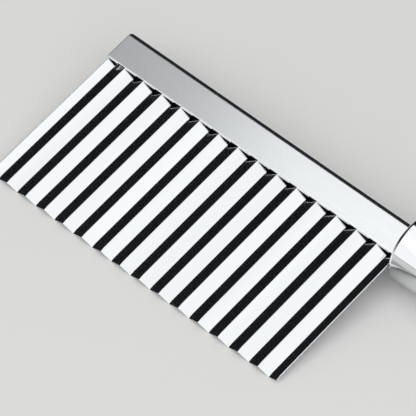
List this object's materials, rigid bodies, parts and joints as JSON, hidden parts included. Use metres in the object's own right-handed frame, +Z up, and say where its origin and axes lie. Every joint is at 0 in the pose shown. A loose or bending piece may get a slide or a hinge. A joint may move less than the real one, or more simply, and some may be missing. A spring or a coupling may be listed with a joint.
{
  "type": "wavy soap cutter",
  "caption": "Hand-held soap cutter: a corrugated steel blade seated in a folded spine, with a hollow round handle that has a hanging hole.",
  "frame": {"origin": "on the surface that the tool lies on, under the middle of its bounding box", "axes": "+X from the blade's tip end to the handle's butt, +Y from the cutting edge towards the back of the spine, +Z up from the surface"},
  "size_m": [0.2212, 0.064, 0.021],
  "materials": {
    "blade_steel": "mirror polished stainless sheet",
    "spine_steel": "polished stainless strip",
    "handle_steel": "mirror polished stainless tube",
    "weld_steel": "weld metal, lightly dressed"
  },
  "bodies": {
    "root": {"blade": "blade_steel", "spine_channel": "spine_steel", "spot_welds": "weld_steel", "front_plate": "handle_steel", "tang_weld": "weld_steel", "handle_tube": "handle_steel", "butt_cap": "handle_steel", "hang_eyelet": "handle_steel"}
  },
  "joints": []
}
